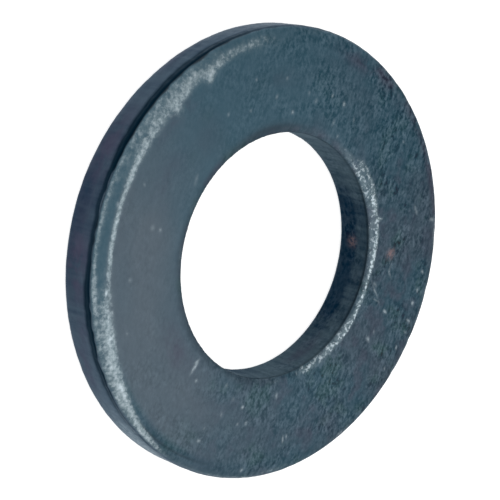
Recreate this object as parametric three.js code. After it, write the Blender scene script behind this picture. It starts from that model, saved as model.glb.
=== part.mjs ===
// A plain flat washer for an M12 bolt: one ring of steel, blanked from strip and blackened.
// Millimetres, +Z up. The ring lies on the plane z = 0, its axis is Z, and its rolled face is on top.

import * as THREE from "three";

// Driving dimensions.
const BORE_DIAMETER = 13;
const OUTSIDE_DIAMETER = 24;
const THICKNESS = 2.5;

// The punch and the die drag the metal down at both edges of the top face. Each edge is a quarter
// of an ellipse: width is measured along the face, and depth is measured down the wall.
const RIM_TOP_EDGE = { width: 1.04, depth: 0.36 };
const BORE_TOP_EDGE = { width: 0.58, depth: 0.18 };

// The edges of the underside are broken where the slug and the strip tore away, then tumbled round.
const RIM_BOTTOM_EDGE = { width: 0.5, depth: 0.5 };
const BORE_BOTTOM_EDGE = { width: 0.4, depth: 0.4 };

// How finely the ring is cut up.
const STEPS_IN_AN_EDGE = 5;
const STEPS_IN_A_TURN = 96;

const STEEL = { color: 0x55636c, roughness: 0.42, metalness: 0.85 };

// Which side of the section a wall or a face is on.
const OUTWARD = 1;
const INWARD = -1;
const UP = 1;
const DOWN = -1;

/**
 * One rounded edge of the section, as points of (radius, height) from the wall to the face.
 * With angle a from 0 to 90 degrees, a point is the ellipse's centre plus
 * (side * width * cos a, end * depth * sin a).
 */
function edgeFromWallToFace(wallRadius, side, faceHeight, end, { width, depth }) {
  const centre = new THREE.Vector2(wallRadius - side * width, faceHeight - end * depth);
  return Array.from({ length: STEPS_IN_AN_EDGE + 1 }, (_, step) => {
    const a = (Math.PI / 2) * (step / STEPS_IN_AN_EDGE);
    const outFromCentre = new THREE.Vector2(side * width * Math.cos(a), end * depth * Math.sin(a));
    return outFromCentre.add(centre);
  });
}

/** The ring's section, once round: the underside outwards, up the rim, the top inwards, down the bore. */
function sectionOfRing() {
  const boreRadius = BORE_DIAMETER / 2;
  const rimRadius = OUTSIDE_DIAMETER / 2;
  const section = [
    ...edgeFromWallToFace(rimRadius, OUTWARD, 0, DOWN, RIM_BOTTOM_EDGE).reverse(),
    ...edgeFromWallToFace(rimRadius, OUTWARD, THICKNESS, UP, RIM_TOP_EDGE),
    ...edgeFromWallToFace(boreRadius, INWARD, THICKNESS, UP, BORE_TOP_EDGE).reverse(),
    ...edgeFromWallToFace(boreRadius, INWARD, 0, DOWN, BORE_BOTTOM_EDGE),
  ];
  return [...section, section[0].clone()];
}

/** The washer: its section turned once round the axis, with the lathe's own +Y axis laid onto +Z. */
function makeWasher() {
  const geometry = new THREE.LatheGeometry(sectionOfRing(), STEPS_IN_A_TURN);
  geometry.rotateX(Math.PI / 2);
  const washer = new THREE.Mesh(geometry, new THREE.MeshStandardMaterial(STEEL));
  washer.name = "washer";
  return washer;
}

const part = new THREE.Group();
part.add(makeWasher());

export default part;
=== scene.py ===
"""The looks of a blackened M12 flat washer: one fine surface over the frame's ring, its finish, and a
plain studio."""

import math

import bpy
import numpy as np
from mathutils import Matrix, Vector


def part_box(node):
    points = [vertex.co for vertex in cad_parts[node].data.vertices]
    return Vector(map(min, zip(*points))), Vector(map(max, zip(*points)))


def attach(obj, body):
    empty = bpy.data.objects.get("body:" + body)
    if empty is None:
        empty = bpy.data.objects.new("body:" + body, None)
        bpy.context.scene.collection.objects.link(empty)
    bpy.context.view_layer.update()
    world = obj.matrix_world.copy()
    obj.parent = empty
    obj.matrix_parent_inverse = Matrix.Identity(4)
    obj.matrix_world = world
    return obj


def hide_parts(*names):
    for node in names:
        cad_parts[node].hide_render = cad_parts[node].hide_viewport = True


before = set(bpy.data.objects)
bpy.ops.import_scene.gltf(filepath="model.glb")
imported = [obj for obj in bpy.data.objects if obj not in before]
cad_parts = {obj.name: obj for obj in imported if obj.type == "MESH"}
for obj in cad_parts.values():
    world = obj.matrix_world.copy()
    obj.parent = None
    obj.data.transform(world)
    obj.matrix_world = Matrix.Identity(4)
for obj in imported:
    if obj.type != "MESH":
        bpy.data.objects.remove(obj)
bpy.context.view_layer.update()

MM = 0.001
SEED = 12


def corners_of(mesh):
    """A mesh's corners, a row of x, y and z for each."""
    values = np.empty(3 * len(mesh.vertices), dtype=np.float32)
    mesh.vertices.foreach_get("co", values)
    return values.reshape(-1, 3).astype(float)


# The ring's sizes in mm, from the frame: the bore's wall is what lies nearest to the axis.
LOW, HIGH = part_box("washer")
CORNERS = corners_of(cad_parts["washer"].data)
RIM = (HIGH.x - LOW.x) / 2 / MM
BORE = np.hypot(CORNERS[:, 0], CORNERS[:, 1]).min() / MM
THICK = (HIGH.z - LOW.z) / MM

# Steps in a turn of the fine surface.
AROUND = 720


# ---------------------------------------------------------------- the section

def straight(start, end, steps):
    """Evenly spaced points on the line (1 - t) start + t end, the last one left out."""
    t = np.linspace(0, 1, steps, endpoint=False)[:, None]
    return (1 - t) * np.array(start) + t * np.array(end)


def bend(start, lean_out, lean_in, end, steps):
    """Points on a cubic Bezier curve, the last one left out: the four points are weighted by
    (1 - t)^3, 3 t (1 - t)^2, 3 t^2 (1 - t) and t^3."""
    t = np.linspace(0, 1, steps, endpoint=False)[:, None]
    weights = ((1 - t) ** 3, 3 * t * (1 - t) ** 2, 3 * t * t * (1 - t), t ** 3)
    return sum(w * np.array(p) for w, p in zip(weights, (start, lean_out, lean_in, end)))


# Where each edge begins and ends, in mm: in from its wall, and down from the top face.
BEVEL_IN, SHOULDER_IN, SHOULDER_DOWN, SHOULDER_FOOT = 0.92, 0.17, 0.125, 0.40
BAND_DOWN = 0.62
ROLL_IN, ROLL_DOWN, ROLL_STEPS = 0.66, 0.20, 15
# How far the broken edges of the underside reach, in mm.
RIM_BREAK, BORE_BREAK = 0.50, 0.42


def ring_section():
    """The ring's closed section as (radius, height) in mm: the underside outwards, up the rim, over the
    shoulder and the shallow bevel, across the top face inwards, over the rolled lip and down the bore.
    The rolled lip is a quarter of an ellipse, ROLL_IN wide and ROLL_DOWN deep. The two middle points
    of each bend pull it round, and the last number of each run is its steps."""
    shoulder = (RIM - SHOULDER_IN, THICK - SHOULDER_DOWN)
    shoulder_foot = (RIM, THICK - SHOULDER_FOOT)
    bevel_head = (RIM - BEVEL_IN, THICK)
    lip_foot = (BORE, THICK - ROLL_DOWN)
    turn = np.linspace(0, math.pi / 2, ROLL_STEPS, endpoint=False)
    lip_radius = BORE + ROLL_IN * (1 - np.sin(turn))
    lip_height = THICK - ROLL_DOWN * (1 - np.cos(turn))
    return np.vstack((
        straight((BORE + BORE_BREAK, 0), (RIM - RIM_BREAK, 0), 7),
        bend((RIM - RIM_BREAK, 0), (RIM - 0.2, 0), (RIM, 0.2), (RIM, RIM_BREAK), 8),
        straight((RIM, RIM_BREAK), (RIM, THICK - BAND_DOWN), 9),
        straight((RIM, THICK - BAND_DOWN), shoulder_foot, 5),
        bend(shoulder_foot, (RIM, THICK - 0.28), (RIM - 0.05, THICK - 0.17), shoulder, 9),
        bend(shoulder, (RIM - 0.42, THICK - 0.055), (RIM - 0.70, THICK - 0.004), bevel_head, 12),
        straight(bevel_head, (BORE + ROLL_IN, THICK), 50),
        np.column_stack((lip_radius, lip_height)),
        straight(lip_foot, (BORE, BORE_BREAK), 13),
        bend((BORE, BORE_BREAK), (BORE, 0.17), (BORE + 0.17, 0), (BORE + BORE_BREAK, 0), 6),
    ))


def lengths_along(section):
    """How far each point lies along the closed section, in mm, and the whole way round."""
    steps = np.linalg.norm(np.roll(section, -1, axis=0) - section, axis=1)
    return np.concatenate(([0], np.cumsum(steps)[:-1])), steps.sum()


def outward_normals(section):
    """Unit normals of the section: each point's tangent turned a quarter turn clockwise."""
    tangent = np.roll(section, -1, axis=0) - np.roll(section, 1, axis=0)
    normal = np.column_stack((tangent[:, 1], -tangent[:, 0]))
    return normal / np.linalg.norm(normal, axis=1)[:, None]


# ---------------------------------------------------------------- patterns on the surface
# Every pattern is an array with a row for each angle round the ring and a column for each section point.

SECTION = ring_section()
RADIUS, HEIGHT = SECTION[:, 0], SECTION[:, 1]
DEPTH = THICK - HEIGHT
ALONG, GIRTH = lengths_along(SECTION)
NORMAL = outward_normals(SECTION)
DEGREES = np.arange(AROUND) * 360 / AROUND
ACROSS_X = np.cos(np.radians(DEGREES))[:, None] * RADIUS[None, :]
ACROSS_Y = np.sin(np.radians(DEGREES))[:, None] * RADIUS[None, :]

# Distance along the surface: in from the foot of the shoulder, and out from the foot of the rolled lip.
IN_FROM_RIM = ALONG - ALONG[np.argmin(abs(RADIUS - RIM) + abs(DEPTH - SHOULDER_FOOT))]
OUT_FROM_BORE = ALONG[np.argmin(abs(RADIUS - BORE) + abs(DEPTH - ROLL_DOWN))] - ALONG
ON_TOP = DEPTH < 0.3
ON_RIM = (RADIUS > RIM - 0.3) & ~ON_TOP
ON_BORE = (RADIUS < BORE + 0.3) & ~ON_TOP


def smooth_noise(seed, cells_around, cells_along):
    """Noise from 0 to 1 that closes both ways: random values on a coarse grid, blended between grid
    lines by the weight t^2 (3 - 2 t)."""
    values = np.random.default_rng(seed).random((cells_around, cells_along))
    place_around = DEGREES / 360 * cells_around
    place_along = ALONG / GIRTH * cells_along
    i, j = place_around.astype(int), place_along.astype(int)
    u, v = (place_around - i)[:, None], (place_along - j)[None, :]
    u, v = u * u * (3 - 2 * u), v * v * (3 - 2 * v)
    i, j = i % cells_around, j % cells_along
    i_next, j_next = (i + 1) % cells_around, (j + 1) % cells_along
    near = (1 - u) * values[np.ix_(i, j)] + u * values[np.ix_(i_next, j)]
    far = (1 - u) * values[np.ix_(i, j_next)] + u * values[np.ix_(i_next, j_next)]
    return (1 - v) * near + v * far


def off_angle(centre):
    """Degrees from a place round the ring, from -180 to 180."""
    return (DEGREES - centre + 180) % 360 - 180


def bell(distance, width):
    """1 at no distance, falling off as exp(-(distance / width)^2 / 2)."""
    return np.exp(-0.5 * (distance / width) ** 2)


def window(value, start, end, soft):
    """1 between start and end, falling to 0 over a soft distance outside them."""
    rise = np.clip((value - start) / soft + 1, 0, 1)
    fall = np.clip((end - value) / soft + 1, 0, 1)
    return rise * rise * (3 - 2 * rise) * fall * fall * (3 - 2 * fall)


def round_ring(*stops):
    """A value that changes round the ring: (degrees, value) stops joined by straight lines."""
    angles, values = zip(*stops)
    return np.interp(DEGREES, angles, values, period=360)


def patches(rows, place, where):
    """The sum of soft patches, each a bell round the ring times a bell across the surface. Lean slides
    a patch across the surface, in mm for each degree round."""
    total = np.zeros((AROUND, len(SECTION)))
    for angle, across, half_angle, half_width, strength, lean in rows:
        turn = off_angle(angle)[:, None]
        off = place[None, :] - across - lean * turn
        total += strength * bell(turn, half_angle) * bell(off, half_width) * where
    return total


# Patches where the black is rubbed off the bevel, laid only where the bevel catches the light, so partly
# painted highlight:
# angle, mm in from the rim, half angle, half width, strength, lean.
BEVEL_WEAR_AND_HIGHLIGHT = (
    (206, 0.90, 6, 0.30, 0.30, 0.00),
    (212, 0.82, 4, 0.16, 0.40, 0.02),
    (221, 0.98, 3, 0.18, 0.58, 0.04),
    (226, 1.28, 1.3, 0.22, 1.15, 0.05),
    (234, 1.02, 4, 0.22, 0.70, 0.02),
    (239, 1.42, 1.3, 0.34, 0.55, 0.05),
    (232, 0.75, 12, 0.35, 0.42, 0.00),
    (248, 1.05, 7, 0.28, 0.62, 0.00),
    (257, 1.18, 5, 0.13, 0.68, 0.00),
    (268, 1.18, 8, 0.08, 0.98, 0.00),
    (280, 1.18, 7, 0.09, 0.92, 0.00),
    (270, 0.80, 14, 0.40, 0.22, 0.00),
    (276, 0.37, 10, 0.06, 0.52, 0.00),
    (290, 0.42, 6, 0.10, 0.52, 0.00),
    (250, 0.42, 16, 0.15, 0.36, 0.00),
    (297, 0.95, 7, 0.28, 0.80, -0.01),
    (308, 0.82, 7, 0.26, 0.92, -0.02),
    (318, 0.66, 5, 0.17, 1.12, -0.02),
    (327, 0.50, 4, 0.12, 0.85, -0.02),
    (334, 0.42, 4, 0.10, 0.60, -0.02),
    (312, 0.34, 14, 0.15, 0.44, 0.00),
    (78, 0.28, 26, 0.09, 0.42, 0.00),
    (2, 0.30, 14, 0.08, 0.40, 0.00),
)

# The same for the rolled lip, in mm out from the bore, and likewise partly painted highlight.
LIP_WEAR_AND_HIGHLIGHT = (
    (36, 0.30, 5, 0.20, 0.55, 0.00),
    (50, 0.30, 7, 0.22, 0.55, 0.00),
    (63, 0.36, 6, 0.18, 0.50, 0.00),
    (66, 0.52, 5, 0.05, 0.45, 0.00),
    (81, 0.42, 8, 0.09, 0.70, 0.00),
    (92, 0.24, 26, 0.18, 0.28, 0.00),
    (100, 0.48, 5, 0.09, 1.00, 0.01),
    (111, 0.62, 5, 0.09, 0.95, 0.01),
    (118, 0.86, 0.8, 0.20, 0.75, 0.00),
    (126, 0.66, 5, 0.12, 1.00, 0.00),
    (137, 0.84, 5, 0.10, 0.75, 0.00),
    (146, 0.76, 3, 0.14, 0.60, 0.00),
    (141, 0.34, 8, 0.22, 0.50, 0.00),
    (118, 0.30, 12, 0.20, 0.36, 0.00),
    (157, 0.32, 7, 0.18, 0.34, 0.00),
)

# Pale stretches of the rim wall: angle, height in mm, then the same.
WALL_WEAR = (
    (336, 1.2, 10, 0.9, 0.62, 0.00),
    (210, 0.6, 8, 0.6, 0.30, 0.00),
)


# How deep below the top face the burnished band of the rim begins, in mm round the ring.
BAND_HEAD = round_ring((210, 0.20), (228, 0.16), (252, 0.18), (265, 0.25), (292, 0.25),
                       (304, 0.28), (340, 0.28))


def wear_and_highlight():
    """How far the black is rubbed off, from 0 to about 1, with painted highlight: the patches, which lie where
    the edges catch the light, and a thin uneven trace on the sharpest line of each edge elsewhere."""
    above_band = np.clip((BAND_HEAD[:, None] - DEPTH[None, :]) / 0.04, 0, 1)
    total = patches(BEVEL_WEAR_AND_HIGHLIGHT, IN_FROM_RIM, above_band) + patches(LIP_WEAR_AND_HIGHLIGHT, OUT_FROM_BORE, DEPTH < 0.5)
    total += patches(WALL_WEAR, HEIGHT, ON_RIM)
    edges = bell(IN_FROM_RIM - 0.45, 0.10) + 0.8 * bell(OUT_FROM_BORE - 0.30, 0.10)
    edges += 0.8 * bell(RADIUS - (RIM - 0.12), 0.08) * (HEIGHT < 0.5)
    trace = 0.55 * smooth_noise(SEED + 1, 40, 9) ** 2 * edges[None, :]
    return np.maximum(total, trace)


# Small bright marks on the top face and its bevel, the last rows painted highlights on the bevel: angle, radius
# in mm, half length along the mark, half width, the mark's direction in degrees from +X, strength.
MARKS_AND_GLINTS = (
    (330, 7.55, 0.20, 0.045, 158, 1.00),
    (329, 7.25, 0.10, 0.040, 140, 0.45),
    (334.5, 7.95, 0.06, 0.050, 0, 0.40),
    (21.5, 10.10, 0.11, 0.035, 15, 0.75),
    (23, 10.02, 0.09, 0.030, 15, 0.40),
    (69, 8.75, 0.08, 0.045, 20, 0.40),
    (72.5, 8.82, 0.09, 0.035, 20, 0.35),
    (81, 9.02, 0.07, 0.040, 60, 0.50),
    (83.5, 7.95, 0.18, 0.030, 78, 0.35),
    (86.5, 7.65, 0.16, 0.030, 55, 0.35),
    (89.5, 7.45, 0.10, 0.040, 70, 0.60),
    (95, 8.42, 0.16, 0.035, 40, 0.30),
    (116, 10.20, 0.10, 0.050, 30, 0.30),
    (140, 10.30, 0.05, 0.040, 0, 0.55),
    (163, 8.40, 0.10, 0.035, 10, 0.30),
    (170.5, 8.77, 0.07, 0.050, 30, 0.95),
    (177, 8.85, 0.06, 0.045, 0, 0.40),
    (172, 7.58, 0.12, 0.045, 0, 0.35),
    (167, 7.10, 0.06, 0.035, 0, 0.35),
    (18.5, 7.58, 0.09, 0.045, 10, 0.40),
    (184, 8.30, 0.07, 0.050, 0, 0.35),
    (188, 8.62, 0.06, 0.045, 0, 0.35),
    (195, 7.57, 0.06, 0.055, 0, 0.80),
    (198.5, 9.30, 0.06, 0.050, 0, 0.30),
    (203, 8.42, 0.07, 0.050, 0, 0.30),
    (211, 9.55, 0.06, 0.050, 0, 0.30),
    (215.5, 8.15, 0.06, 0.050, 0, 0.30),
    (225, 8.60, 0.06, 0.050, 0, 0.25),
    (250, 7.40, 0.16, 0.060, 0, 0.22),
    (261, 10.10, 0.05, 0.045, 0, 0.25),
    (272, 8.30, 0.06, 0.055, 0, 0.35),
    (272, 8.80, 0.09, 0.080, 0, 0.18),
    (288, 9.75, 0.06, 0.055, 0, 0.30),
    (303, 10.20, 0.05, 0.045, 0, 0.30),
    (348, 10.40, 0.08, 0.055, 90, 0.45),
    (348, 9.70, 0.06, 0.040, 0, 0.30),
    (349.5, 7.25, 0.08, 0.050, 0, 0.45),
    (352.5, 8.70, 0.09, 0.040, 10, 0.40),
    (355.5, 7.80, 0.06, 0.045, 0, 0.35),
    (1, 9.00, 0.05, 0.045, 0, 0.35),
    (7, 11.45, 0.07, 0.050, 0, 0.75),
    (97, 11.08, 0.07, 0.050, 60, 0.55),
    (91.4, 11.00, 0.09, 0.045, 20, 0.60),
    (87.3, 10.90, 0.07, 0.055, 0, 0.95),
    (81.9, 11.10, 0.12, 0.045, 75, 0.70),
    (78.5, 11.20, 0.08, 0.040, 75, 0.45),
    (73.2, 11.03, 0.07, 0.045, 20, 0.60),
    (66.0, 11.05, 0.06, 0.045, 20, 0.40),
    (112.2, 11.50, 0.13, 0.060, 100, 0.80),
    (81.2, 8.90, 0.08, 0.045, 80, 0.65),
    (69.2, 8.60, 0.08, 0.055, 40, 0.60),
    (117.6, 10.10, 0.09, 0.050, 30, 0.45),
    (96.2, 8.35, 0.26, 0.030, 0, 0.30),
    (86.5, 7.68, 0.40, 0.030, 45, 0.30),
    (1.4, 8.09, 0.06, 0.050, 0, 0.75),
    (4.8, 8.91, 0.06, 0.050, 0, 0.55),
    (18.2, 7.47, 0.07, 0.050, 0, 0.45),
    # Painted highlight: bright streaks on the bevel where it catches the light.
    (302.5, 11.16, 0.08, 0.060, 0, 0.85),
    (316, 11.46, 0.24, 0.050, 46, 1.00),
    (320.5, 11.53, 0.17, 0.045, 50, 0.90),
    (309, 11.50, 0.12, 0.045, 40, 0.55),
    (330, 11.84, 0.14, 0.045, 60, 0.80),
    (296, 10.90, 0.07, 0.050, 20, 0.60),
    (268.2, 11.21, 0.07, 0.050, 0, 0.75),
    (290.3, 11.17, 0.06, 0.050, 0, 0.75),
)


def marks_and_glints():
    """The small bright marks and painted glints: each is a bell along its own direction times a bell across it.
    """
    total = np.zeros((AROUND, len(SECTION)))
    for angle, radius, half_length, half_width, direction, strength in MARKS_AND_GLINTS:
        angle, direction = math.radians(angle), math.radians(direction)
        x = ACROSS_X - radius * math.cos(angle)
        y = ACROSS_Y - radius * math.sin(angle)
        lengthways = x * math.cos(direction) + y * math.sin(direction)
        sideways = y * math.cos(direction) - x * math.sin(direction)
        total += strength * bell(lengthways, half_length) * bell(sideways, half_width) * ON_TOP
    return total


def spot(angle, radius, height, size):
    """A round soft spot on the surface, by its distance in space from a point."""
    x = radius * math.cos(math.radians(angle))
    y = radius * math.sin(math.radians(angle))
    far = (ACROSS_X - x) ** 2 + (ACROSS_Y - y) ** 2 + (HEIGHT[None, :] - height) ** 2
    return bell(np.sqrt(far), size)


def rust():
    """Two small rust spots, one on the top face and one in the bore."""
    face_spot = 1.2 * spot(102.5, 8.2, THICK, 0.18) + 0.5 * spot(103.5, 8.4, THICK, 0.12)
    bore_spot = spot(107, BORE, 1.15, 0.20)
    return face_spot + bore_spot


def rim_wall():
    """1 on the sheared rim wall and its broken lower edge, 0 elsewhere."""
    return np.ones(AROUND)[:, None] * window(RADIUS, RIM - 0.04, RIM + 1, 0.08) * (DEPTH > 0.13)


def bore_wall():
    """1 on the torn bore wall and its broken lower edge, 0 elsewhere."""
    return np.ones(AROUND)[:, None] * window(BORE - RADIUS, -0.02, 1, 0.05) * (DEPTH > 0.13)


# Darker strokes of the painted shade band on the lip and on the bevel, as in the tables of wear.
DARK_ON_LIP = ((206, 0.42, 13, 0.20, 0.55, 0.0),)
DARK_ON_BEVEL = (
    (330, 0.58, 5, 0.05, 0.55, 0.01),
    (344, 0.70, 6, 0.05, 0.45, 0.01),
)


def painted_shade_band():
    """The dark band at the top of each wall, on the burnished band under the shoulder and the lip: painted
    shade, near-black where it lies under the overhang and would reflect dark surroundings, uneven round the
    ring. On the rim it runs from its head to its foot, both made ragged by noise; in the bore it is an even
    line."""
    strength = round_ring((200, 0.3), (215, 0.8), (222, 1.0), (260, 1.0), (268, 0.85), (280, 0.85),
                          (288, 1.0), (314, 1.0), (326, 0.6), (345, 0.3))
    foot = round_ring((200, 0.36), (225, 0.54), (256, 0.54), (264, 0.42), (282, 0.42), (290, 0.57),
                      (308, 0.57), (330, 0.46), (350, 0.36))
    ragged = 0.15 * (smooth_noise(SEED + 2, 210, 3) - 0.5)
    depth = DEPTH[None, :] + ragged
    above = np.clip((depth - BAND_HEAD[:, None]) / 0.05 + 1, 0, 1)
    below = np.clip((foot[:, None] - depth) / 0.20 + 1, 0, 1)
    on_rim = (RADIUS > RIM - 0.2) * (HEIGHT > 1) * above * below * below * (3 - 2 * below)
    bore_strength = round_ring((20, 0.2), (60, 0.5), (75, 0.7), (128, 0.7), (140, 0.4), (160, 0.1))
    on_bore = (RADIUS < BORE + 0.06) * window(DEPTH, 0.18, 0.24, 0.10)[None, :] * (HEIGHT > 1)
    lip = patches(DARK_ON_LIP, OUT_FROM_BORE, DEPTH < 0.5)
    bevel = patches(DARK_ON_BEVEL, IN_FROM_RIM, ON_TOP)
    return np.clip(strength[:, None] * on_rim + bore_strength[:, None] * on_bore + lip + bevel, 0, 1)


def navy_and_painted_shade():
    """The darkest blue parts of the walls, partly their own navy and partly painted shade: uneven round the
    ring and deeper in their lower half.
    """
    round_rim = round_ring((0, 0.4), (200, 0.6), (232, 0.3), (244, 0.25), (262, 0.9), (276, 1.0),
                           (288, 0.6), (300, 0.1), (330, 0.0))
    round_bore = round_ring((8, 0.5), (25, 0.0), (40, 0.1), (62, 0.6), (80, 0.95), (120, 0.95),
                            (142, 0.3), (165, 0.0), (270, 0.5))
    down_rim = 0.65 + 0.35 * window(HEIGHT, -1, 1.1, 0.4)
    down_bore = 0.6 + 0.8 * window(HEIGHT, -1, 1.1, 0.5)
    rim = round_rim[:, None] * down_rim[None, :] * ON_RIM
    bore = round_bore[:, None] * down_bore[None, :] * (RADIUS < BORE + 0.3) * (DEPTH > 0.1)
    return np.clip(rim + bore, 0, 1.3)


# Tempered patches, as in the tables of wear: across the walls by height, across the face by distance
# in from the rim.
PURPLE_ON_RIM = (
    (228, 0.7, 5, 0.30, 0.55, 0.0),
    (256, 1.1, 8, 0.60, 0.85, 0.0),
    (284, 1.2, 6, 0.60, 1.20, 0.0),
    (310, 0.9, 5, 0.30, 0.80, 0.0),
    (300, 1.5, 3, 0.30, 0.60, 0.0),
)
PURPLE_ON_BORE = ((45, 1.3, 7, 0.3, 0.6, 0.0),)
PURPLE_ON_FACE = (
    (160, 0.70, 9, 0.30, 0.70, 0.0),
    (172, 1.10, 5, 0.25, 0.50, 0.0),
    (126, 0.55, 14, 0.20, 0.70, 0.0),
    (240, 1.70, 6, 0.25, 0.45, 0.0),
    (318, 4.30, 7, 0.45, 0.60, 0.0),
    (255, 3.20, 6, 0.40, 0.30, 0.0),
    (35, 1.90, 7, 0.60, 0.35, 0.0),
)


def purple():
    """Faint purple-brown tempering of the black."""
    on_rim = patches(PURPLE_ON_RIM, HEIGHT, ON_RIM)
    on_bore = patches(PURPLE_ON_BORE, HEIGHT, ON_BORE)
    return on_rim + on_bore + patches(PURPLE_ON_FACE, IN_FROM_RIM, ON_TOP)


def painted_sheen():
    """Painted sheen: an even pale grey over part of the top face, strongest near the bevel, standing in for the
    reflection of a soft light.
    """
    strength = round_ring((230, 0.0), (250, 0.4), (270, 0.95), (300, 1.0), (335, 0.8),
                          (355, 0.25), (375, 0.0))
    across = np.clip(OUT_FROM_BORE / 2.4, 0, 1) ** 0.6 * window(IN_FROM_RIM, 1.3, GIRTH, 0.5)
    cloudy = 0.75 + 0.5 * smooth_noise(SEED + 9, 26, 12)
    return strength[:, None] * across[None, :] * cloudy * ON_TOP


def teal():
    """Where the face leans to a bluer, paler black, most of all along the bevel."""
    strength = round_ring((60, 0.0), (120, 0.1), (150, 0.6), (180, 0.9), (240, 1.0), (290, 0.8),
                          (330, 0.35), (360, 0.3), (400, 0.2))
    cloudy = 0.7 + 0.6 * smooth_noise(SEED + 10, 34, 14)
    across = window(OUT_FROM_BORE, 0.7, GIRTH, 0.5) * (1 + 0.5 * bell(IN_FROM_RIM - 0.75, 0.3))
    return strength[:, None] * across[None, :] * cloudy * ON_TOP


def graininess():
    """How strongly the black is flecked and pitted: strongest on one half of the ring, faint opposite."""
    strength = round_ring((22, 0.85), (67, 0.85), (112, 0.95), (157, 1.0), (190, 0.65), (205, 0.45),
                          (230, 0.2), (300, 0.2), (337, 0.5))
    return strength[:, None] * (1 - 0.55 * (rim_wall() + bore_wall()))


# Heights of the fine surface's parts in mm, each from its lowest to its highest.
DRAG_LINES, TORN_GRAIN, BROKEN_EDGE, WAVY_EDGE, UNEVEN_SKIN = 0.014, 0.012, 0.02, 0.010, 0.006
# How deep the band's neck is, and how much the foot is rounded off on one side, in mm.
NECK, LOST_FOOT = 0.03, 0.16


def relief():
    """Height of the fine surface over the smooth section, in mm: torn walls with drag lines, a shallow
    neck under the shoulder, wavy edges, a rounder foot on one side, and a faintly uneven face."""
    wall = rim_wall() + bore_wall()
    drag = smooth_noise(SEED + 3, 360, 5) - 0.5
    torn = smooth_noise(SEED + 4, 240, 60) - 0.5
    broken = smooth_noise(SEED + 5, 60, 40) - 0.5
    waves = smooth_noise(SEED + 6, 11, 12) - 1
    low = window(DEPTH, 1.2, GIRTH, 0.5)[None, :]
    surface = wall * (DRAG_LINES * drag + TORN_GRAIN * torn) + BROKEN_EDGE * wall * low * broken
    # The real shallow neck is cut where the painted shade band lies.
    surface -= NECK * painted_shade_band()
    surface += WAVY_EDGE * waves * (0.2 + wall)
    surface += UNEVEN_SKIN * (smooth_noise(SEED + 7, 180, 90) - 0.5)
    foot = bell(HEIGHT - 0.15, 0.30) * (RADIUS > RIM - 0.8) * (HEIGHT < 1.2)
    surface -= LOST_FOOT * bell(off_angle(224), 20)[:, None] * foot[None, :]
    return surface


def nicks():
    """Small dents, mostly on the edges: each is a bell in distance along and round the surface."""
    random = np.random.default_rng(SEED + 8)
    surface = np.zeros((AROUND, len(SECTION)))
    bevel_at = ALONG[np.argmin(abs(RADIUS - (RIM - 0.25)) + abs(DEPTH))]
    lip_at = ALONG[np.argmin(abs(RADIUS - (BORE + 0.2)) + abs(DEPTH))]
    foot_at = ALONG[np.argmin(abs(RADIUS - (RIM - 0.15)) + abs(HEIGHT - 0.15))]
    # The edge, the number of dents on it, how far they scatter from it, and the deepest, in mm.
    homes = ((bevel_at, 70, 0.25, 0.026), (lip_at, 40, 0.16, 0.018), (foot_at, 45, 0.2, 0.012))
    for home, count, scatter, deep in homes:
        for _ in range(count):
            angle, along = random.uniform(0, 360), random.normal(home, scatter)
            size, depth = random.uniform(0.06, 0.16), deep * random.uniform(0.3, 1.0)
            sideways = np.radians(off_angle(angle))[:, None] * RADIUS[None, :]
            surface -= depth * bell(np.hypot(sideways, (ALONG - along)[None, :]), size)
    return surface


def revolve(height_over_section):
    """The section plus its relief carried once round +Z: a grid of points in mm, held inside the
    ring's own box."""
    radius = RADIUS[None, :] + NORMAL[None, :, 0] * height_over_section
    height = HEIGHT[None, :] + NORMAL[None, :, 1] * height_over_section
    radius, height = np.minimum(radius, RIM), np.clip(height, 0, THICK)
    angle = np.radians(DEGREES)[:, None]
    return np.stack((np.cos(angle) * radius, np.sin(angle) * radius, height), axis=-1)


# ---------------------------------------------------------------- the piece

def closed_grid_mesh(name, points, patterns):
    """A mesh from a grid of points in mm that closes on itself both ways, with smooth quads that face
    out, and each pattern as a value at every point."""
    rows, columns = points.shape[:2]
    i, j = np.meshgrid(np.arange(rows), np.arange(columns), indexing="ij")
    i_next, j_next = (i + 1) % rows, (j + 1) % columns
    corners = (i * columns + j, i_next * columns + j, i_next * columns + j_next, i * columns + j_next)
    quads = np.stack(corners, axis=-1).astype(np.int32)
    mesh = bpy.data.meshes.new(name)
    mesh.vertices.add(rows * columns)
    mesh.vertices.foreach_set("co", (points * MM).astype(np.float32).ravel())
    mesh.loops.add(quads.size)
    mesh.loops.foreach_set("vertex_index", quads.ravel())
    mesh.polygons.add(rows * columns)
    mesh.polygons.foreach_set("loop_start", np.arange(0, quads.size, 4, dtype=np.int32))
    mesh.polygons.foreach_set("use_smooth", np.ones(rows * columns, dtype=bool))
    for pattern_name, values in patterns.items():
        attribute = mesh.attributes.new(pattern_name, "FLOAT", "POINT")
        attribute.data.foreach_set("value", values.astype(np.float32).ravel())
    mesh.update()
    mesh.validate()
    return mesh


def make_ring():
    """The ring as one closed piece, with the patterns that its finish reads."""
    patterns = {
        "wear_and_highlight": wear_and_highlight(),
        "mark_and_glint": marks_and_glints(),
        "rust": rust(),
        "rim_wall": rim_wall(),
        "bore_wall": bore_wall(),
        "painted_shade_band": painted_shade_band(),
        "navy_and_painted_shade": navy_and_painted_shade(),
        "purple": purple(),
        "grain": graininess(),
        "painted_sheen": painted_sheen(),
        "teal": teal(),
    }
    points = revolve(relief() + nicks())
    ring = bpy.data.objects.new("blackened_ring", closed_grid_mesh("blackened_ring", points, patterns))
    bpy.context.scene.collection.objects.link(ring)
    return ring


# ---------------------------------------------------------------- the finish

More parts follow.
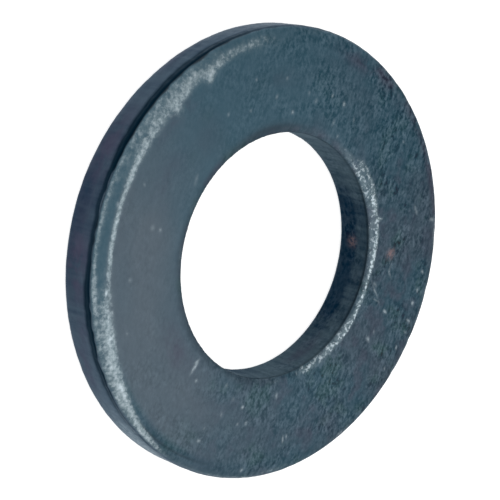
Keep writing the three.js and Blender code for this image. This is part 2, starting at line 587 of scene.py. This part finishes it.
class NodeTree:
    """A short way to write a tree of nodes: each call adds one node and gives back its output."""

    def __init__(self, tree):
        self.tree = tree

    def add(self, kind, output, settings, **inputs):
        """One node. An input is given by its place, as in_0, or by its name, with _ for a space."""
        node = self.tree.nodes.new(kind)
        for name, value in settings.items():
            setattr(node, name, value)
        for key, value in inputs.items():
            which = int(key[3:]) if key.startswith("in_") else key.replace("_", " ")
            self.put(node.inputs[which], value)
        return node.outputs[output]

    def put(self, socket, value):
        """Link an output to the socket, or set the socket's own value."""
        if isinstance(value, bpy.types.NodeSocket):
            self.tree.links.new(value, socket)
        else:
            socket.default_value = value

    def math(self, operation, a, b=0.0, c=0.0, clamp=False):
        settings = {"operation": operation, "use_clamp": clamp}
        return self.add("ShaderNodeMath", 0, settings, in_0=a, in_1=b, in_2=c)

    def join(self, operation, a, b):
        """Two colours joined channel by channel."""
        return self.add("ShaderNodeVectorMath", 0, {"operation": operation}, in_0=a, in_1=b)

    def spread(self, value, low, high, to_low=0.0, to_high=1.0):
        """The value's range from low to high, eased and laid over to_low to to_high."""
        settings = {"interpolation_type": "SMOOTHSTEP"}
        ends = {"in_1": low, "in_2": high, "in_3": to_low, "in_4": to_high}
        return self.add("ShaderNodeMapRange", 0, settings, in_0=value, **ends)

    def mix(self, share, a, b):
        return self.add("ShaderNodeMix", 2, {"data_type": "RGBA"}, in_0=share, in_6=a, in_7=b)

    def scale(self, colour, amount):
        return self.add("ShaderNodeVectorMath", 0, {"operation": "SCALE"}, in_0=colour, in_3=amount)

    def noise(self, place, scale, detail=2.0, roughness=0.5):
        """Noise round 0.5. Scale is in features to the metre."""
        values = {"Scale": scale, "Detail": detail, "Roughness": roughness}
        return self.add("ShaderNodeTexNoise", 0, {}, Vector=place, **values)

    def stretch(self, place, x, y, z, turn=0.0):
        """The place scaled along each axis, then turned about Z."""
        return self.add("ShaderNodeMapping", 0, {}, Vector=place, Rotation=(0, 0, turn), Scale=(x, y, z))

    def attribute(self, name):
        return self.add("ShaderNodeAttribute", 2, {"attribute_name": name})

    def place(self):
        return self.add("ShaderNodeTexCoord", 3, {})


# Colours of the finish, as linear red, green and blue.
TEAL_BLACK = (0.019, 0.058, 0.086, 1)
SLATE_BLACK = (0.033, 0.060, 0.086, 1)
GREEN_BLACK = (0.024, 0.066, 0.076, 1)
PLUM_BLACK = (0.034, 0.050, 0.078, 1)
TEAL_BLUE = (0.033, 0.084, 0.119, 1)
# Painted sheen: the pale grey laid over part of the face for a soft light's reflection.
PAINTED_SHEEN_GREY = (0.070, 0.099, 0.126, 1)
GRAIN_GREY = (0.098, 0.128, 0.155, 1)
TEMPER_PURPLE = (0.045, 0.046, 0.077, 1)
WALL_SLATE = (0.048, 0.074, 0.102, 1)
# Painted shade: the wall tone's navy end darkens the rim wall where it lies in shade.
WALL_NAVY_PAINTED_SHADE = (0.014, 0.028, 0.052, 1)
BORE_TEAL = (0.066, 0.104, 0.131, 1)
# Painted shade in the bore, as on the rim wall.
BORE_NAVY_PAINTED_SHADE = (0.012, 0.032, 0.057, 1)
# Painted shade: the near-black of the dark bands at the top of the walls.
PAINTED_SHADE_BLACK = (0.001, 0.009, 0.018, 1)
# Rubbed and bare colours: wear, and painted highlight on the edges that catch the light.
RUBBED_AND_LIT_BLACK = (0.170, 0.235, 0.262, 1)
BARE_STEEL_AND_GLINT = (0.50, 0.59, 0.64, 1)
RUST = (0.20, 0.135, 0.14, 1)

# The tint of the metal's edge-on shine, bluer than steel's.
BLUED_SHINE = (0.64, 0.71, 0.78, 1)

# How fine each pattern of the finish is, in features to the metre.
DRIFT, GATHERING, TINT, PATCHES, MOTTLE = 260, 620, 640, 900, 1900
WALL_STREAKS, UNEVEN_RUB, GRAIN_STREAKS, SPARKLE, FINE_GRAIN = 2600, 3400, 3600, 5200, 5600

# A turn of the grain's noise about Z in radians, so that its own grid doesn't lie along the streaks,
# and the height of the grain's bumps in metres.
NOISE_TURN, BUMP_HEIGHT = 0.12, 0.00002


def skin_colour(tree, place, rim, bore):
    """The black skin: teal drifting to slate on the faces, with a painted sheen over part of the top face; navy
    to slate on the walls, the navy partly painted shade; tempered purple in places."""
    drift = tree.spread(tree.noise(place, DRIFT, 2), 0.35, 0.65)
    face = tree.mix(drift, TEAL_BLACK, SLATE_BLACK)
    tint = tree.noise(place, TINT, 3, 0.55)
    face = tree.mix(tree.spread(tint, 0.52, 0.68, 0.0, 0.8), face, GREEN_BLACK)
    face = tree.mix(tree.spread(tint, 0.34, 0.48, 0.8, 0.0), face, PLUM_BLACK)
    face = tree.mix(tree.attribute("teal"), face, TEAL_BLUE)
    # Painted sheen over part of the top face.
    face = tree.mix(tree.attribute("painted_sheen"), face, PAINTED_SHEEN_GREY)
    streaks = tree.noise(tree.stretch(place, 1, 1, 0.08), WALL_STREAKS, 3, 0.6)
    # The walls' streaks run towards the navy painted shade.
    wall_streaks_and_shade = tree.math("MULTIPLY_ADD", tree.math("SUBTRACT", streaks, 0.5), 1.6, tree.attribute("navy_and_painted_shade"))
    skin = tree.mix(rim, face, tree.mix(wall_streaks_and_shade, WALL_SLATE, WALL_NAVY_PAINTED_SHADE))
    skin = tree.mix(bore, skin, tree.mix(wall_streaks_and_shade, BORE_TEAL, BORE_NAVY_PAINTED_SHADE))
    patched = tree.spread(tree.noise(place, PATCHES, 3, 0.6), 0.3, 0.6)
    tempered = tree.math("MULTIPLY", tree.attribute("purple"), patched)
    return tree.mix(tempered, skin, TEMPER_PURPLE)


def grained(tree, place, skin, fine, streak):
    """The skin with its grain: fine and streaky, gathered in patches, lighter and darker by turns, and
    near-black with painted shade on the dark bands."""
    mottle = tree.noise(place, MOTTLE, 3, 0.6)
    gathered = tree.spread(tree.noise(place, GATHERING, 2), 0.36, 0.66, 0.45, 1.35)
    tone = tree.math("MULTIPLY_ADD", fine, 1.9, tree.math("MULTIPLY_ADD", mottle, 1.2, streak))
    tone = tree.math("MAXIMUM", tree.math("SUBTRACT", tone, 2.06), -0.34)
    tone = tree.math("MULTIPLY", tone, tree.attribute("grain"))
    tone = tree.math("MULTIPLY", tone, gathered)
    skin = tree.join("ADD", skin, tree.scale(GRAIN_GREY[:3], tone))
    skin = tree.join("MAXIMUM", skin, PAINTED_SHADE_BLACK[:3])
    # Painted shade: the dark bands go near-black.
    return tree.mix(tree.attribute("painted_shade_band"), skin, PAINTED_SHADE_BLACK)


def rubbed_and_lit(tree, skin, worn_and_lit, uneven):
    """The skin made paler where it is rubbed, but not yet through, and partly painted highlight where the edges
    catch the light.
    """
    rub_and_light = tree.math("MULTIPLY", worn_and_lit, tree.math("MULTIPLY_ADD", uneven, 2.6, -0.3))
    return tree.mix(tree.spread(rub_and_light, 0.0, 1.35, 0.0, 0.9), skin, RUBBED_AND_LIT_BLACK)


def bare_and_glint_share(tree, worn_and_lit, uneven, sparkle):
    """How far the steel shows through, with painted highlight: crisp flecks on the grainy side of the ring and
    soft clouds on the smooth side, both on the worn and lit edges, and the small bright marks and painted
    glints."""
    crisp = tree.spread(tree.math("MULTIPLY_ADD", worn_and_lit, 0.14, sparkle), 0.585, 0.72, 0.0, 0.95)
    cloudy = tree.math("MULTIPLY_ADD", uneven, 0.3, tree.math("MULTIPLY", sparkle, 0.7))
    soft = tree.spread(tree.math("MULTIPLY_ADD", worn_and_lit, 0.16, cloudy), 0.50, 0.95, 0.0, 0.95)
    crispness = tree.spread(tree.attribute("grain"), 0.3, 0.8)
    fleck_and_glint = tree.math("MULTIPLY_ADD", crispness, tree.math("SUBTRACT", crisp, soft), soft)
    fleck_and_glint = tree.math("MULTIPLY", fleck_and_glint, tree.spread(worn_and_lit, 0.15, 0.8, 0.0, 0.9))
    dot = tree.math("MULTIPLY", tree.attribute("mark_and_glint"), tree.spread(uneven, 0.32, 0.62, 0.3, 0.95))
    return tree.math("ADD", fleck_and_glint, dot, clamp=True)


def blackened_steel():
    """Black oxide on blanked steel: a dark skin with fine grain along X, pale where it is rubbed, bare where it
    is worn through, and rusty in two spots, with painted highlight on the lit edges, painted sheen and painted
    shade. The walls are the most metallic."""
    material = bpy.data.materials.new("blackened_steel")
    material.use_nodes = True
    tree = NodeTree(material.node_tree)
    shader = material.node_tree.nodes["Principled BSDF"]
    place = tree.place()
    worn_and_lit, rim, bore = tree.attribute("wear_and_highlight"), tree.attribute("rim_wall"), tree.attribute("bore_wall")
    fine = tree.noise(tree.stretch(place, 0.7, 1, 1, NOISE_TURN), FINE_GRAIN, 3, 0.6)
    streak = tree.noise(tree.stretch(place, 0.25, 1, 1, NOISE_TURN), GRAIN_STREAKS, 3, 0.6)
    uneven = tree.noise(place, UNEVEN_RUB, 4, 0.62)
    sparkle = tree.noise(place, SPARKLE, 2, 0.6)

    skin = grained(tree, place, skin_colour(tree, place, rim, bore), fine, streak)
    bare_and_glint = bare_and_glint_share(tree, worn_and_lit, uneven, sparkle)
    # Bare steel over the rubbed skin, partly painted highlight.
    colour = tree.mix(bare_and_glint, rubbed_and_lit(tree, skin, worn_and_lit, uneven), BARE_STEEL_AND_GLINT)
    rusty = tree.math("MULTIPLY", tree.attribute("rust"), tree.spread(sparkle, 0.35, 0.6, 0.15, 0.9))
    colour = tree.mix(rusty, colour, RUST)

    wall = tree.math("MAXIMUM", rim, bore)
    metal = tree.spread(tree.math("MAXIMUM", wall, tree.math("MULTIPLY", bare_and_glint, 0.8)), 0, 1, 0.25, 1.0)
    rough = tree.math("MULTIPLY_ADD", bore, 0.30, tree.spread(streak, 0.3, 0.7, 0.38, 0.48))
    bumpy = tree.math("ADD", tree.attribute("grain"), worn_and_lit)
    bumps = tree.math("MULTIPLY", tree.math("ADD", fine, sparkle), bumpy)
    bump = tree.add("ShaderNodeBump", 0, {}, Strength=0.30, Distance=BUMP_HEIGHT, Height=bumps)
    finish = {"Base Color": colour, "Metallic": metal, "Roughness": rough, "Normal": bump}
    for name, value in finish.items():
        tree.put(shader.inputs[name], value)
    shader.inputs["Specular Tint"].default_value = BLUED_SHINE
    return material


# ---------------------------------------------------------------- the studio

# The camera's tilt from the ring's axis and its roll in degrees, and its distance and focal length in mm.
CAMERA_TILT, CAMERA_ROLL = 42.54, 105.48
CAMERA_DISTANCE, CAMERA_LENS = 81.79, 111.86
# How far the ring stands right of the view's middle and below it, in mm.
AIM_RIGHT, AIM_DOWN = 0.816, 0.149
# The tent's dim parts: direction, the angles in degrees where each begins and ends to fade, how dim.
DIM_IN_FRONT = ((0, -1, 0.05), 20, 42, 0.85)
DIM_BEHIND = ((-0.15, 1, 0.75), 22, 50, 0.75)
# Half the table's side and how far its top lies under the ring, in metres.
TABLE_HALF, TABLE_DROP = 1.5, 0.005 * MM


def place_camera():
    """The camera looks down on the ring from -Y, tilted from the ring's axis, then rolled about its own."""
    tilt, roll = math.radians(CAMERA_TILT), math.radians(CAMERA_ROLL)
    forward = Vector((0, math.sin(tilt), -math.cos(tilt)))
    level_up = Vector((0, math.cos(tilt), math.sin(tilt)))
    level_right = Vector((1, 0, 0))
    right = math.cos(roll) * level_right + math.sin(roll) * level_up
    up = right.cross(forward)
    middle = Vector((0, 0, THICK / 2))
    stand = middle - AIM_RIGHT * right + AIM_DOWN * up - CAMERA_DISTANCE * forward
    lens = bpy.data.cameras.new("camera")
    lens.lens = CAMERA_LENS
    lens.clip_start = MM
    camera = bpy.data.objects.new("camera", lens)
    turn = Matrix((right, up, -forward)).transposed().to_4x4()
    camera.matrix_world = Matrix.Translation(stand * MM) @ turn
    bpy.context.scene.collection.objects.link(camera)
    bpy.context.scene.camera = camera


def soft_light(name, place, size, radiance):
    """A round soft light at a place in mm that looks at the ring, with an even radiance over its disc."""
    light = bpy.data.lights.new(name, "AREA")
    light.shape = "DISK"
    light.size = size * MM
    light.energy = radiance * math.pi * math.pi * (size * MM / 2) ** 2
    lamp = bpy.data.objects.new(name, light)
    turn = Vector(place).to_track_quat("Z", "Y").to_matrix().to_4x4()
    lamp.matrix_world = Matrix.Translation(Vector(place) * MM) @ turn
    lamp.visible_camera = False
    bpy.context.scene.collection.objects.link(lamp)


def tent():
    """A white tent round the studio: an even glow, dimmer low down in front of the ring and higher up
    behind it. The camera sees plain white."""
    world = bpy.data.worlds.new("tent")
    world.use_nodes = True
    tree = NodeTree(world.node_tree)
    way = tree.add("ShaderNodeTexCoord", 0, {})

    def lobe(direction, inner, outer, strength):
        """Strength inside a cone of the inner angle about a direction, eased to 0 at the outer angle."""
        unit = tuple(Vector(direction).normalized())
        along = tree.add("ShaderNodeVectorMath", 1, {"operation": "DOT_PRODUCT"}, in_0=way, in_1=unit)
        return tree.spread(along, math.cos(math.radians(outer)), math.cos(math.radians(inner)), 0.0, strength)

    glow = tree.math("SUBTRACT", 1.0, lobe(*DIM_IN_FRONT))
    glow = tree.math("SUBTRACT", glow, lobe(*DIM_BEHIND))
    is_camera = tree.add("ShaderNodeLightPath", 0, {})
    shown = tree.math("MAXIMUM", glow, is_camera)
    background = world.node_tree.nodes["Background"]
    tree.put(background.inputs["Strength"], shown)
    background.inputs["Color"].default_value = (1, 1, 1, 1)
    bpy.context.scene.world = world


def pale_floor():
    """A pale table top, lit softly from inside so that the ring throws almost no shadow on it. It lies a
    hair under the ring, so that the two faces aren't in one plane."""
    mesh = bpy.data.meshes.new("floor")
    half, low = TABLE_HALF, -TABLE_DROP
    corners = [(-half, -half, low), (half, -half, low), (half, half, low), (-half, half, low)]
    mesh.from_pydata(corners, [], [(0, 1, 2, 3)])
    floor = bpy.data.objects.new("floor", mesh)
    bpy.context.scene.collection.objects.link(floor)
    paper = bpy.data.materials.new("lit_table")
    paper.use_nodes = True
    shader = paper.node_tree.nodes["Principled BSDF"]
    shader.inputs["Base Color"].default_value = (0.5, 0.5, 0.5, 1)
    shader.inputs["Roughness"].default_value = 0.9
    shader.inputs["Emission Color"].default_value = (1, 1, 1, 1)
    shader.inputs["Emission Strength"].default_value = 0.8
    mesh.materials.append(paper)


ring = make_ring()
ring.data.materials.append(blackened_steel())
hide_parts("washer")
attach(ring, "root")

place_camera()
pale_floor()
tent()
soft_light("high_light", place=(9, 35, 57), size=48, radiance=1.6)
soft_light("front_light", place=(-25, -150, 190), size=90, radiance=2.0)
bpy.context.scene.view_settings.view_transform = "Standard"
